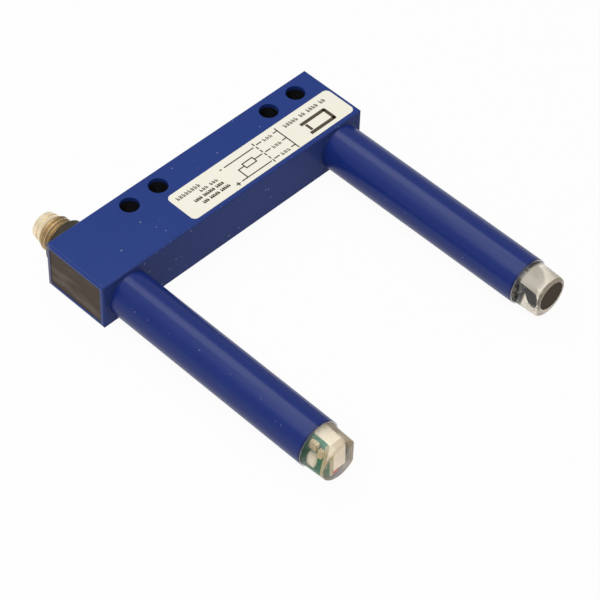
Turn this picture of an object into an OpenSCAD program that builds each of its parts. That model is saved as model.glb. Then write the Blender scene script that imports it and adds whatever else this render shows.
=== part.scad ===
// Fork light barrier: a slim hollow bar carries two tubular arms that face each other across a gap.
// One arm sends infrared light through the flat window of its clear head and the other one receives it.
// X runs along the bar, the arms reach towards -Y, +Z is up.
// The origin is the middle of the bar's underside, which is the mounting face.

/* [Fork] */
// Clear gap between the two arms
fork_gap = 50; // [46:1:120]
// Reach of the arms, from the bar's front face to the tips of their heads
fork_reach = 60; // [40:1:120]

/* [Bar] */
// Depth of the bar, front to back
bar_w = 17.2; // [16.4:0.1:24]
// Height of the bar
bar_h = 12; // [11.8:0.1:16]
// Wall of the hollow bar
bar_wall = 1; // [0.8:0.1:1.4]
// Radius on the outer edges of the bar
bar_edge_r = 0.45; // [0.2:0.05:0.5]
// Radius in the corners of the bar's cavity
cavity_r = 0.4; // [0.2:0.05:0.8]
// Length of bar beyond each arm
bar_end = 1.5; // [1:0.1:12]
// Depth of the casting resin below the open ends of the bar
resin_recess = 0.15; // [0.1:0.05:1]

/* [Mounting holes] */
// Diameter of the four mounting holes
hole_d = 4.3; // [3.2:0.1:4.5]
// Distance of the hole row from the bar's back face
hole_edge = 3.75; // [3.2:0.05:5]
// Distance of the outermost hole from the emitter end of the bar
hole_end = 6.5; // [4:0.1:8]
// Pitch of the two holes in a pair
hole_pair = 8; // [6:0.5:9]
// Pitch from one pair of holes to the other
hole_group = 40; // [24:0.5:41]

/* [Label] */
// Length of the label
label_l = 47; // [20:0.5:48]
// Width of the label
label_w = 8.65; // [6:0.05:9.2]
// Thickness of the label
label_t = 0.12; // [0.08:0.01:0.3]
// Corner radius of the label
label_r = 1.2; // [0.5:0.1:2.5]
// Margin between the label and the emitter end of the bar
label_end = 0.9; // [0.5:0.1:10]
// Margin between the label and the front edge of the bar
label_front = 1; // [0.5:0.1:1.4]

/* [Arms] */
// Outside diameter of the arm tubes
tube_d = 10.5; // [10:0.1:10.8]
// Wall of the arm tubes
tube_wall = 0.3; // [0.25:0.05:0.7]
// Depth to which the tubes are let into the bar
tube_seat = 4; // [2.5:0.1:4.4]
// Glue line round the tubes and round the connector, in their holes in the bar
glue_gap = 0.05; // [0.02:0.01:0.1]
// Leg of the adhesive bead round the foot of each tube
bead_leg = 0.3; // [0.25:0.05:0.45]
// Thickness of the bead at its two edges
bead_toe = 0.08; // [0.05:0.01:0.15]

/* [Clear heads] */
// Length of each head outside its tube
head_l = 6; // [5.6:0.1:9]
// Length of each head inside its tube
head_seat = 7; // [6.6:0.1:10]
// Gap between a head and the bore of its tube
head_gap = 0.05; // [0.02:0.01:0.15]
// Amount by which the radius of each head narrows from its tube to its tip
head_draft = 0.25; // [0.1:0.05:0.4]
// Chamfer round the tip of each head
head_chamfer = 0.3; // [0.1:0.05:0.6]
// Distance of the flat window from the axis of the arm
window_offset = 3.6; // [3.4:0.05:4.2]

/* [Emitter] */
// Clear wall round the air pocket behind the slanted mirror face
pocket_wall = 0.75; // [0.6:0.05:1]
// Thickness of the dark plug that closes the pocket
plug_t = 0.7; // [0.4:0.05:1]
// Gap round the plug in its pocket
plug_gap = 0.05; // [0.02:0.01:0.15]
// Diameter of the infrared diode
led_d = 5; // [4:0.1:5.1]
// Diameter of the diode's domed front
led_dome_d = 4.8; // [3.6:0.1:4.9]
// Length of the diode's straight body, ahead of its flange
led_body = 5.4; // [4:0.1:5.5]
// Diameter of the diode's flange
led_flange_d = 5.8; // [5.4:0.1:7]
// Thickness of the diode's flange
led_flange_t = 1; // [0.6:0.1:1.5]
// Gap round the diode in the head
led_gap = 0.05; // [0.02:0.01:0.15]
// Diameter of the diode's two legs
leg_d = 0.5; // [0.4:0.05:0.6]
// Pitch of the diode's two legs
leg_pitch = 2.54; // [2:0.01:3]
// Thickness of the emitter's round board
emitter_board_t = 1; // [0.8:0.1:1.6]
// Gap between the round board and the bore of the tube
emitter_board_gap = 0.2; // [0.1:0.05:0.5]

/* [Receiver] */
// Thickness of the receiver's board
rx_board_t = 0.8; // [0.7:0.1:1.2]
// Width of the receiver's board
rx_board_w = 7; // [6:0.1:7.4]
// Distance of the board's face from the axis, on the side away from the window
rx_board_offset = 0.9; // [0.3:0.1:1]
// Clear resin between the tip of the head and the board
rx_tip_wall = 2.2; // [0.8:0.1:2.6]
// Length of board that stands out behind the head
rx_board_tail = 3; // [1:0.1:8]
// Length of the light receiver, along the arm
rx_l = 4.8; // [3:0.1:6]
// Width of the light receiver, across the arm
rx_w = 5.8; // [3:0.1:5.8]
// Height of the light receiver above the board
rx_t = 2.9; // [1:0.1:3]
// Distance of the light receiver below the upper edge of the board
rx_top = 0.4; // [0.2:0.1:0.8]
// Length of the red status lamp
lamp_l = 1.6; // [1:0.1:2]
// Width of the red status lamp
lamp_w = 0.8; // [0.5:0.1:0.9]
// Height of the red status lamp above the board
lamp_t = 1.2; // [0.4:0.1:1.4]
// Length of the amplifier chip
amp_l = 1.7; // [1.2:0.1:2]
// Width of the amplifier chip
amp_w = 2; // [1.5:0.1:2]
// Height of the amplifier chip above the board
amp_t = 1; // [0.6:0.1:1.2]
// Distance of the amplifier chip from the front edge of the board
amp_front = 1.4; // [1:0.1:2]
// Distance of the amplifier chip's middle below the axis of the arm
amp_low = 0.5; // [0.5:0.1:1]
// Length of the coupling capacitor
cap_l = 1; // [0.8:0.1:1.2]
// Width of the coupling capacitor
cap_w = 1.6; // [1:0.1:1.7]
// Height of the coupling capacitor above the board
cap_t = 0.8; // [0.4:0.1:1]
// Distance of the coupling capacitor from the front edge of the board
cap_front = 0.3; // [0.2:0.1:0.4]
// Distance of the coupling capacitor's middle above the axis of the arm
cap_high = 1.6; // [1.4:0.1:2]
// Length of the filter capacitor
filter_l = 1.8; // [1.6:0.1:2.4]
// Width of the filter capacitor
filter_w = 1.6; // [1.2:0.1:1.8]
// Height of the filter capacitor above the board
filter_t = 0.9; // [0.4:0.1:1]
// Distance of the filter capacitor from the front edge of the board
filter_front = 1.7; // [1.7:0.1:4]
// Distance of the filter capacitor's middle above the axis of the arm
filter_high = 2.6; // [1.8:0.1:2.6]

/* [Main board] */
// Thickness of the main board
board_t = 1; // [0.8:0.1:1.6]
// Gap between the board and the bar's walls, and between the board and the tubes
board_gap = 0.5; // [0.3:0.1:0.8]
// Length of board beyond the axis of each arm
board_end = 3.5; // [2.5:0.1:4.5]
// Length of the signal chip
chip_l = 8.7; // [6:0.1:10]
// Width of the signal chip
chip_w = 3.9; // [3:0.1:5]
// Height of the signal chip
chip_t = 1.5; // [1:0.1:2]
// Size of the voltage regulator, along the board
regulator_l = 4.5; // [3:0.1:6]
// Width of the voltage regulator
regulator_w = 2.5; // [2:0.1:4]
// Height of the voltage regulator
regulator_t = 1.5; // [1:0.1:2]
// Place of the voltage regulator along the board
regulator_x = 12; // [8:0.5:15]
// Size of the output transistor, along the board
transistor_l = 2.9; // [2:0.1:4]
// Width of the output transistor
transistor_w = 1.5; // [1:0.1:3]
// Height of the output transistor
transistor_t = 1; // [0.8:0.1:1.5]
// Place of the output transistor along the board
transistor_x = -12; // [-15:0.5:-8]
// Diameter of the supply capacitor
can_d = 4; // [3:0.1:5]
// Height of the supply capacitor
can_h = 2.6; // [1.5:0.1:2.9]
// Place of the supply capacitor along the board
can_x = -8; // [-14:0.5:-5]
// Length of the protection diode
diode_l = 4.3; // [3:0.1:5]
// Width of the protection diode
diode_w = 2.6; // [2:0.1:3]
// Height of the protection diode
diode_t = 2.1; // [1:0.1:2.4]
// Place of the protection diode along the board
diode_x = 8; // [5:0.5:14]
// Length of a chip resistor
resistor_l = 1.6; // [1:0.1:2]
// Width of a chip resistor
resistor_w = 0.8; // [0.5:0.1:1.2]
// Height of a chip resistor
resistor_t = 0.5; // [0.3:0.05:0.7]
// Pitch of the chip resistors
resistor_pitch = 2.2; // [1.6:0.1:2.4]
// Number of chip resistors in their row
resistor_n = 4; // [2:1:4]

/* [Wires] */
// Diameter of the inner wires
wire_d = 0.7; // [0.5:0.05:0.7]
// Pitch of the receiver's three wires
rx_wire_pitch = 2; // [1:0.1:2.4]

/* [Connector] */
// Diameter of the collar on the bar's back face
collar_d = 10.1; // [9.6:0.1:11.4]
// Length of the collar
collar_l = 2.2; // [1.8:0.1:4]
// Diameter of the connector's body where it passes through the bar's wall
plug_body_d = 8.6; // [8:0.1:9]
// Depth to which the connector's body reaches into the bar
plug_body_in = 3; // [2:0.1:3.5]
// Length of the insulating core, from the bar's back face to the pins' root
core_l = 4; // [3:0.1:5]
// Depth to which the metal sleeve is set in the collar
sleeve_seat = 1.3; // [0.8:0.1:1.6]
// Bore of the metal sleeve
sleeve_bore = 5.4; // [5:0.05:5.6]
// Diameter of the neck between the collar and the thread
neck_d = 6.8; // [6.4:0.1:7.4]
// Length of the neck
neck_l = 1.2; // [0.5:0.1:2]
// Outside diameter of the thread
thread_d = 8; // [7.6:0.1:8.4]
// Length of the thread
thread_l = 2.4; // [2:0.1:6]
// Chamfer at both ends of the thread
thread_chamfer = 0.3; // [0.1:0.05:0.4]
// Length of the taper ahead of the thread
taper_l = 1.3; // [0.8:0.1:2]
// Diameter of the snap groove
groove_d = 6.2; // [5.9:0.05:6.5]
// Length of the snap groove
groove_l = 0.3; // [0.2:0.05:0.6]
// Diameter of the nose at the snap groove
nose_d = 6.6; // [6.4:0.05:7]
// Diameter of the nose at its tip
nose_tip_d = 6; // [5.8:0.05:6.5]
// Length of the nose
nose_l = 1.5; // [1:0.1:3]
// Diameter of a contact pin
pin_d = 1; // [0.7:0.05:1.1]
// Diameter of the circle that the pins stand on
pin_circle = 3.4; // [3:0.05:3.6]
// Length of a pin ahead of the insulating core
pin_l = 3.5; // [2.5:0.1:4]
// Chamfer at the tip of a pin
pin_chamfer = 0.25; // [0.1:0.05:0.3]
// Length of a pin behind the connector's body
pin_tail = 1; // [0.5:0.1:1.5]

/* [Hidden] */
$fn = 64;
cut = 1;
bar_blue = "#2b3f86";
resin_black = "#3b352b";
clear = [0.86, 0.87, 0.85, 0.4];
board_green = "#1f7a52";
chip_black = "#26262a";
tin = "#c4c6c8";

// Bar and hole row
arm_x = fork_gap / 2 + tube_d / 2;
bar_l = 2 * arm_x + tube_d + 2 * bar_end;
arm_z = bar_h / 2;
front_y = -bar_w / 2;
back_y = bar_w / 2;
hole_y = back_y - hole_edge;
hole_first = bar_l / 2 - hole_end;
hole_xs = [for (g = [0, hole_group], p = [0, hole_pair]) hole_first - g - p];

// Arms and heads, measured from the tip of the head towards the bar
tube_l = fork_reach + tube_seat - head_l;
tube_bore = tube_d - 2 * tube_wall;
head_d = tube_bore - 2 * head_gap;
head_tip_d = head_d - 2 * head_draft;
head_rear = head_l + head_seat;
pocket_r = (head_tip_d / 2 + window_offset) / 2 - pocket_wall;
pocket_x = (head_tip_d / 2 - window_offset) / 2;
emitter_board_d = tube_bore - 2 * emitter_board_gap;
emitter_board_front = head_rear + led_flange_t;
emitter_board_rear = emitter_board_front + emitter_board_t;
rx_board_rear = head_rear + rx_board_tail;

// Main board, which stands on edge behind the tubes
board_front = front_y + tube_seat + board_gap;
board_back = board_front + board_t;
board_l = 2 * arm_x + 2 * board_end;
board_h = bar_h - 2 * bar_wall - 2 * board_gap;
wire_start = board_front - front_y + fork_reach;
tunnel_lap = board_t / 2;

// Connector, measured from the bar's back face outwards
neck_end = collar_l + neck_l;
thread_end = neck_end + thread_l;
taper_end = thread_end + taper_l;
groove_end = taper_end + groove_l;
sleeve_end = groove_end + nose_l;
pin_rear = plug_body_in + pin_tail;
pin_straight = pin_rear + core_l + pin_l - pin_chamfer;
pin_angles = [90, 210, 330];

// Round bar along +Y
module rod(d, l) {
    rotate([-90, 0, 0])
        cylinder(d = d, h = l);
}

// Rectangle with round corners, about the origin
module round_rect(l, w, r) {
    square([l - 2 * r, w], center = true);
    square([l, w - 2 * r], center = true);
    for (x = [-1, 1], y = [-1, 1])
        translate([x * (l / 2 - r), y * (w / 2 - r)])
            circle(r = r);
}

// Extrusion along X of a section drawn in Y and Z, from the bar's underside up
module along_bar(l) {
    translate([-l / 2, 0, bar_h / 2])
        rotate([90, 0, 90])
            linear_extrude(l)
                children();
}

// Places a shape on an arm: x points away from the other arm, y runs from the tip to the bar
module on_arm(side) {
    translate([side * arm_x, front_y - fork_reach, arm_z])
        mirror([side < 0 ? 1 : 0, 0, 0])
            children();
}
module on_receiver_arm() {
    on_arm(-1)
        children();
}
module on_emitter_arm() {
    on_arm(1)
        children();
}

// Places a shape on the connector's axis: y runs out of the bar's back face
module on_connector() {
    translate([-arm_x, back_y, arm_z])
        children();
}

// The four mounting holes, right through the bar
module mounting_holes() {
    for (x = hole_xs)
        translate([x, hole_y, -cut])
            cylinder(d = hole_d, h = bar_h + 2 * cut);
}

// Block of the bar with all twelve edges rounded
module bar_block() {
    intersection() {
        along_bar(bar_l)
            round_rect(bar_w, bar_h, bar_edge_r);
        linear_extrude(bar_h)
            round_rect(bar_l, bar_w, bar_edge_r);
        translate([0, bar_w / 2, bar_h / 2])
            rotate([90, 0, 0])
                linear_extrude(bar_w)
                    round_rect(bar_l, bar_h, bar_edge_r);
    }
}

// Inside of the hollow bar
module bar_cavity(l) {
    along_bar(l)
        round_rect(bar_w - 2 * bar_wall, bar_h - 2 * bar_wall, cavity_r);
}

// Hollow aluminium bar, open at both ends, drilled for the arms, the connector and the screws
module housing() {
    color(bar_blue)
        difference() {
            bar_block();
            bar_cavity(bar_l + 2 * cut);
            mounting_holes();
            for (side = [-1, 1])
                on_arm(side)
                    translate([0, fork_reach - cut, 0])
                        rod(tube_d + 2 * glue_gap, tube_seat + cut);
            on_connector()
                translate([0, -bar_wall - cut, 0])
                    rod(plug_body_d + 2 * glue_gap, bar_wall + 2 * cut);
        }
}

// Casting resin that fills the bar round the electronics, with the screw holes drilled through it
module casting_resin() {
    color(resin_black)
        difference() {
            bar_cavity(bar_l - 2 * resin_recess);
            mounting_holes();
            for (side = [-1, 1])
                on_arm(side)
                    translate([0, fork_reach, 0])
                        rod(tube_d, tube_seat);
            on_connector()
                translate([0, -plug_body_in, 0])
                    rod(plug_body_d, plug_body_in);
            main_board();
            signal_chip();
            voltage_regulator();
            output_transistor();
            supply_capacitor();
            protection_diode();
            chip_resistors();
            supply_pin();
            ground_pin();
            output_pin();
            supply_wire(tunnel_lap);
            ground_wire(tunnel_lap);
            output_wire(tunnel_lap);
            receiver_supply_wire(tunnel_lap);
            receiver_signal_wire(tunnel_lap);
            receiver_ground_wire(tunnel_lap);
            emitter_anode_wire(tunnel_lap);
            emitter_cathode_wire(tunnel_lap);
        }
}

// Self-adhesive label on the top face
module label() {
    color("#f3eee2")
        translate([bar_l / 2 - label_end - label_l / 2, front_y + label_front + label_w / 2, bar_h])
            linear_extrude(label_t)
                round_rect(label_l, label_w, label_r);
}

// Thin tube of an arm, from the mouth at the head to its inner end in the bar
module arm_tube() {
    color(bar_blue)
        translate([0, head_l, 0])
            difference() {
                rod(tube_d, tube_l);
                translate([0, -cut, 0])
                    rod(tube_bore, tube_l + 2 * cut);
            }
}
module receiver_arm() {
    on_receiver_arm()
        arm_tube();
}
module emitter_arm() {
    on_emitter_arm()
        arm_tube();
}

// Hollow fillet of adhesive in the corner between a tube and the bar's front face, no higher than the bar
module arm_bead() {
    color(bar_blue)
        translate([0, fork_reach, 0])
            rotate([90, 0, 0])
                intersection() {
                    rotate_extrude()
                        translate([tube_d / 2, 0])
                            difference() {
                                square(bead_leg);
                                translate([bead_leg, bead_leg])
                                    circle(r = bead_leg - bead_toe);
                            }
                    linear_extrude(2 * bead_leg, center = true)
                        square([2 * tube_d, bar_h], center = true);
                }
}
module receiver_arm_bead() {
    on_receiver_arm()
        arm_bead();
}
module emitter_arm_bead() {
    on_emitter_arm()
        arm_bead();
}

// Clear plug that narrows to a chamfered tip, with a flat window on the side that faces the other arm
module head_body() {
    difference() {
        union() {
            rotate([-90, 0, 0])
                cylinder(d1 = head_tip_d - 2 * head_chamfer, d2 = head_tip_d, h = head_chamfer);
            translate([0, head_chamfer, 0])
                rotate([-90, 0, 0])
                    cylinder(d1 = head_tip_d, d2 = head_d, h = head_l - head_chamfer);
            translate([0, head_l, 0])
                rod(head_d, head_seat);
        }
        translate([-window_offset - tube_d, -cut, -tube_d / 2])
            cube([tube_d, head_l + cut, tube_d]);
    }
}

// Receiver's head, cast in clear resin round the end of its board
module receiver_head() {
    color(clear)
        difference() {
            on_receiver_arm()
                head_body();
            receiver_board();
            light_receiver();
            status_lamp();
            receiver_amplifier();
            receiver_capacitor();
            filter_capacitor();
        }
}

// Receiver's board, on edge in the arm with its face towards the window
module receiver_board() {
    color(board_green)
        on_receiver_arm()
            translate([rx_board_offset, rx_tip_wall, -rx_board_w / 2])
                cube([rx_board_t, rx_board_rear - rx_tip_wall, rx_board_w]);
}

// Light receiver in its pale moulded case, towards the window
module light_receiver() {
    color("#f4e9d2")
        on_receiver_arm()
            translate([rx_board_offset - rx_t, rx_tip_wall, rx_board_w / 2 - rx_top - rx_w])
                cube([rx_t, rx_l, rx_w]);
}

// Red lamp below the light receiver, seen through the tip of the head
module status_lamp() {
    color("#c2402f")
        on_receiver_arm()
            translate([rx_board_offset - lamp_t, rx_tip_wall, rx_board_w / 2 - rx_top - rx_w - lamp_w])
                cube([lamp_t, lamp_l, lamp_w]);
}

// Amplifier chip on the board's outer face
module receiver_amplifier() {
    color("#efe3c8")
        on_receiver_arm()
            translate([rx_board_offset + rx_board_t, rx_tip_wall + amp_front, -amp_low - amp_w / 2])
                cube([amp_t, amp_l, amp_w]);
}

// Coupling capacitor on the board's outer face, ahead of the amplifier chip and above it
module receiver_capacitor() {
    color("#d9bf8f")
        on_receiver_arm()
            translate([rx_board_offset + rx_board_t, rx_tip_wall + cap_front, cap_high - cap_w / 2])
                cube([cap_t, cap_l, cap_w]);
}

// Filter capacitor on the board's outer face, at the mouth of the tube
module filter_capacitor() {
    color("#d2c4a2")
        on_receiver_arm()
            translate([rx_board_offset + rx_board_t, rx_tip_wall + filter_front, filter_high - filter_w / 2])
                cube([filter_t, filter_l, filter_w]);
}

// Wire from the edge of the receiver's board to the main board, or its tunnel, which laps into the board
module receiver_wire(row, insulation, lap) {
    color(insulation)
        on_receiver_arm()
            translate([rx_board_offset + rx_board_t / 2, rx_board_rear, row * rx_wire_pitch])
                rod(wire_d, wire_start - rx_board_rear + lap);
}
module receiver_supply_wire(lap = 0) {
    receiver_wire(1, "#b3342c", lap);
}
module receiver_signal_wire(lap = 0) {
    receiver_wire(0, "#e8e6df", lap);
}
module receiver_ground_wire(lap = 0) {
    receiver_wire(-1, "#1d1d1f", lap);
}

// Air pocket in the emitter's head: a bore from the tip whose slanted floor turns the light to the window
module mirror_pocket() {
    low_x = pocket_x - pocket_r;
    high_x = pocket_x + pocket_r;
    intersection() {
        translate([pocket_x, -cut, 0])
            rod(2 * pocket_r, plug_t + 2 * pocket_r + 2 * cut);
        linear_extrude(tube_d, center = true)
            polygon([
                [low_x - cut, -2 * cut],
                [high_x + cut, -2 * cut],
                [high_x + cut, plug_t + 2 * pocket_r + cut],
                [low_x - cut, plug_t - cut]
            ]);
    }
}

// Emitter's head, a clear prism that takes the diode at its rear
module emitter_head() {
    color(clear)
        on_emitter_arm()
            difference() {
                head_body();
                mirror_pocket();
                diode_body(led_gap);
            }
}

// Dark disc that closes the air pocket at the tip
module emitter_plug() {
    color("#2e2822")
        on_emitter_arm()
            translate([pocket_x, 0, 0])
                rod(2 * (pocket_r - plug_gap), plug_t);
}

// Domed body of the infrared diode, or its seat when it is grown by a gap
module diode_body(grow) {
    translate([0, head_rear - led_body, 0]) {
        sphere(d = led_dome_d + 2 * grow);
        rod(led_d + 2 * grow, led_body);
    }
}

// Infrared diode with its flange on the rear of the head and its legs through the round board
module infrared_diode() {
    color("#1c1c2c")
        on_emitter_arm() {
            diode_body(0);
            translate([0, head_rear, 0])
                rod(led_flange_d, led_flange_t);
            diode_legs(leg_d, emitter_board_rear - head_rear);
        }
}

// The diode's two legs, or their holes
module diode_legs(d, l) {
    for (x = [-1, 1])
        translate([x * leg_pitch / 2, head_rear, 0])
            rod(d, l);
}

// Small round board behind the infrared diode
module emitter_board() {
    color(board_green)
        on_emitter_arm()
            difference() {
                translate([0, emitter_board_front, 0])
                    rod(emitter_board_d, emitter_board_t);
                diode_legs(leg_d, emitter_board_rear - head_rear + cut);
            }
}

// Wire from a leg of the diode to the main board, or its tunnel in the resin
module emitter_wire(row, insulation, lap) {
    color(insulation)
        on_emitter_arm()
            translate([row * leg_pitch / 2, emitter_board_rear, 0])
                rod(wire_d, wire_start - emitter_board_rear + lap);
}
module emitter_anode_wire(lap = 0) {
    emitter_wire(1, "#b3342c", lap);
}
module emitter_cathode_wire(lap = 0) {
    emitter_wire(-1, "#1d1d1f", lap);
}

// Main board, on edge along the bar between the tubes and the hole row
module main_board() {
    color(board_green)
        translate([-board_l / 2, board_front, (bar_h - board_h) / 2])
            cube([board_l, board_t, board_h]);
}

// Puts a part on the board's back face, or on its front face, at a place along the board
module on_board(x, front) {
    translate([x, front ? board_front : board_back, bar_h / 2])
        rotate([front ? 90 : -90, 0, 0])
            children();
}

// Signal chip on the board's back face
module signal_chip() {
    color(chip_black)
        on_board(0, false)
            translate([-chip_l / 2, -chip_w / 2, 0])
                cube([chip_l, chip_w, chip_t]);
}

// Voltage regulator on the board's back face
module voltage_regulator() {
    color(chip_black)
        on_board(regulator_x, false)
            translate([-regulator_l / 2, -regulator_w / 2, 0])
                cube([regulator_l, regulator_w, regulator_t]);
}

// Output transistor on the board's back face
module output_transistor() {
    color(chip_black)
        on_board(transistor_x, false)
            translate([-transistor_l / 2, -transistor_w / 2, 0])
                cube([transistor_l, transistor_w, transistor_t]);
}

// Supply capacitor on the board's front face, between the arms
module supply_capacitor() {
    color(tin)
        on_board(can_x, true)
            cylinder(d = can_d, h = can_h);
}

// Protection diode on the board's front face
module protection_diode() {
    color(chip_black)
        on_board(diode_x, true)
            translate([-diode_l / 2, -diode_w / 2, 0])
                cube([diode_l, diode_w, diode_t]);
}

// Row of chip resistors on the board's front face, between the capacitor and the diode
module chip_resistors() {
    color("#35332f")
        for (i = [0 : resistor_n - 1])
            on_board((i - (resistor_n - 1) / 2) * resistor_pitch, true)
                translate([-resistor_w / 2, -resistor_l / 2, 0])
                    cube([resistor_w, resistor_l, resistor_t]);
}

// Moulded body of the connector: a collar that seats the sleeve, and a plug in the bar's back wall
module connector_body() {
    color("#1e1e20")
        on_connector()
            rotate([-90, 0, 0])
                rotate_extrude()
                    polygon([
                        [sleeve_bore / 2, -plug_body_in],
                        [plug_body_d / 2, -plug_body_in],
                        [plug_body_d / 2, 0],
                        [collar_d / 2, 0],
                        [collar_d / 2, collar_l],
                        [neck_d / 2, collar_l],
                        [neck_d / 2, collar_l - sleeve_seat],
                        [sleeve_bore / 2, collar_l - sleeve_seat]
                    ]);
}

// Insulating core that holds the pins, pressed through the body and into the sleeve
module insulating_core() {
    color("#2a2a2c")
        on_connector()
            difference() {
                translate([0, -plug_body_in, 0])
                    rod(sleeve_bore, plug_body_in + core_l);
                for (a = pin_angles)
                    pin_at(a)
                        translate([0, -plug_body_in - cut, 0])
                            rod(pin_d, plug_body_in + core_l + 2 * cut);
            }
}

// Places a shape on the axis of one contact pin
module pin_at(angle) {
    translate([pin_circle / 2 * cos(angle), 0, pin_circle / 2 * sin(angle)])
        children();
}

// Turned brass sleeve: neck, thread at its full diameter, taper, snap groove and nose
module connector_sleeve() {
    color("#c8b88c")
        on_connector()
            rotate([-90, 0, 0])
                rotate_extrude()
                    polygon([
                        [sleeve_bore / 2, collar_l - sleeve_seat],
                        [neck_d / 2, collar_l - sleeve_seat],
                        [neck_d / 2, neck_end],
                        [thread_d / 2 - thread_chamfer, neck_end],
                        [thread_d / 2, neck_end + thread_chamfer],
                        [thread_d / 2, thread_end - thread_chamfer],
                        [thread_d / 2 - thread_chamfer, thread_end],
                        [nose_d / 2, taper_end],
                        [groove_d / 2, taper_end],
                        [groove_d / 2, groove_end],
                        [nose_d / 2, groove_end],
                        [nose_tip_d / 2, sleeve_end],
                        [sleeve_bore / 2, sleeve_end]
                    ]);
}

// Contact pin with a chamfered tip
module contact_pin(angle) {
    color("#d8c27a")
        on_connector()
            pin_at(angle)
                translate([0, -pin_rear, 0]) {
                    rod(pin_d, pin_straight);
                    translate([0, pin_straight, 0])
                        rotate([-90, 0, 0])
                            cylinder(d1 = pin_d, d2 = pin_d - 2 * pin_chamfer, h = pin_chamfer);
                }
}
module output_pin() {
    contact_pin(pin_angles[0]);
}
module supply_pin() {
    contact_pin(pin_angles[1]);
}
module ground_pin() {
    contact_pin(pin_angles[2]);
}

// Wire from a pin's tail to the back face of the main board, or its tunnel in the resin
module pin_wire(angle, insulation, lap) {
    color(insulation)
        on_connector()
            pin_at(angle)
                translate([0, board_back - back_y - lap, 0])
                    rod(wire_d, back_y - pin_rear - board_back + lap);
}
module output_wire(lap = 0) {
    pin_wire(pin_angles[0], "#1d1d1f", lap);
}
module supply_wire(lap = 0) {
    pin_wire(pin_angles[1], "#6b4226", lap);
}
module ground_wire(lap = 0) {
    pin_wire(pin_angles[2], "#2f4fa8", lap);
}

housing();
casting_resin();
label();
receiver_arm();
emitter_arm();
receiver_arm_bead();
emitter_arm_bead();
receiver_head();
receiver_board();
light_receiver();
status_lamp();
receiver_amplifier();
receiver_capacitor();
filter_capacitor();
receiver_supply_wire();
receiver_signal_wire();
receiver_ground_wire();
emitter_head();
emitter_plug();
infrared_diode();
emitter_board();
emitter_anode_wire();
emitter_cathode_wire();
main_board();
signal_chip();
voltage_regulator();
output_transistor();
supply_capacitor();
protection_diode();
chip_resistors();
connector_body();
insulating_core();
connector_sleeve();
supply_pin();
ground_pin();
output_pin();
supply_wire();
ground_wire();
output_wire();
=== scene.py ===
import math
from types import SimpleNamespace

import bmesh
import bpy
from mathutils import Matrix, Vector


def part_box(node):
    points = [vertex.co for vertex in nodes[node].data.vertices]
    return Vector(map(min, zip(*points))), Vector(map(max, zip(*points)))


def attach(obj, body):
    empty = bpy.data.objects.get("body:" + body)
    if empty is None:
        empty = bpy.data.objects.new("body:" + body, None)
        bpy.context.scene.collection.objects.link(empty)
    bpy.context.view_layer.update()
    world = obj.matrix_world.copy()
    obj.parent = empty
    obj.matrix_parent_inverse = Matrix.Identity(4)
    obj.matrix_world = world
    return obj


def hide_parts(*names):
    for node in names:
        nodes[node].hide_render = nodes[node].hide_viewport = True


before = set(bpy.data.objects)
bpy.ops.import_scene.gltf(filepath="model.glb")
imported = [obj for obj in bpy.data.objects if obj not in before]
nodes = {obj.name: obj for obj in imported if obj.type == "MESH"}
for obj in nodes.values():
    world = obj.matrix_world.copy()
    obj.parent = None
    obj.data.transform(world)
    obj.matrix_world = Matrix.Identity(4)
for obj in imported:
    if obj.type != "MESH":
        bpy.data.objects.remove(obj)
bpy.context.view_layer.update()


# Bar
# A length of hollow aluminium bar, drilled for the arms, the connector and the screws,
# then sprayed with a semi-gloss blue paint that has gathered a little dust.

class Tone:
    """A socket of a finish's shader, so that masks and mixes can be written as sums."""

    def __init__(self, tree, socket):
        self.tree = tree
        self.socket = socket

    def node(self, kind, settings, inputs, output=0):
        """Adds a node: its settings are set first, then its sockets are filled or linked."""
        made = self.tree.nodes.new(kind)
        for key, value in settings.items():
            setattr(made, key, value)
        for key, value in inputs.items():
            if isinstance(value, Tone):
                self.tree.links.new(value.socket, made.inputs[key])
            else:
                made.inputs[key].default_value = value
        return Tone(self.tree, made.outputs[output])

    def sum(self, operation, first, second):
        return self.node("ShaderNodeMath", {"operation": operation}, {0: first, 1: second})

    def __add__(self, other):
        return self.sum("ADD", self, other)

    def __sub__(self, other):
        return self.sum("SUBTRACT", self, other)

    def __rsub__(self, other):
        return self.sum("SUBTRACT", other, self)

    def __mul__(self, other):
        return self.sum("MULTIPLY", self, other)

    def __pow__(self, other):
        return self.sum("POWER", self, other)

    def __abs__(self):
        return self.sum("ABSOLUTE", self, 0.0)

    __radd__ = __add__
    __rmul__ = __mul__

    def most(self, other):
        return self.sum("MAXIMUM", self, other)

    def rise(self, start, end):
        """0 at start and 1 at end, with a soft step between them."""
        return self.node("ShaderNodeMapRange", {"interpolation_type": "SMOOTHSTEP"},
                         {"Value": self, "From Min": start, "From Max": end})

    def mix(self, low, high):
        """The colour low where this value is 0, and high where it is 1."""
        return self.node("ShaderNodeMix", {"data_type": "RGBA"}, {0: self, 6: low, 7: high}, 2)

    def noise(self, scale, detail=2.0):
        return self.node("ShaderNodeTexNoise", {}, {"Vector": self, "Scale": scale, "Detail": detail})

    def stretched(self, scale, turn=(0, 0, 0)):
        """The same coordinates, squeezed and then turned, for a pattern with a grain."""
        return self.node("ShaderNodeMapping", {}, {"Vector": self, "Rotation": turn, "Scale": scale})

    def cells(self, scale, output):
        return self.node("ShaderNodeTexVoronoi", {}, {"Vector": self, "Scale": scale}, output)

    def parts(self):
        """The three numbers of a vector or colour."""
        split = self.node("ShaderNodeSeparateXYZ", {}, {0: self}).socket.node
        return [Tone(self.tree, socket) for socket in split.outputs]

    def bump(self, strength, distance):
        return self.node("ShaderNodeBump", {},
                         {"Height": self, "Strength": strength, "Distance": distance})

    def feed(self, target):
        self.tree.links.new(self.socket, target)


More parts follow.
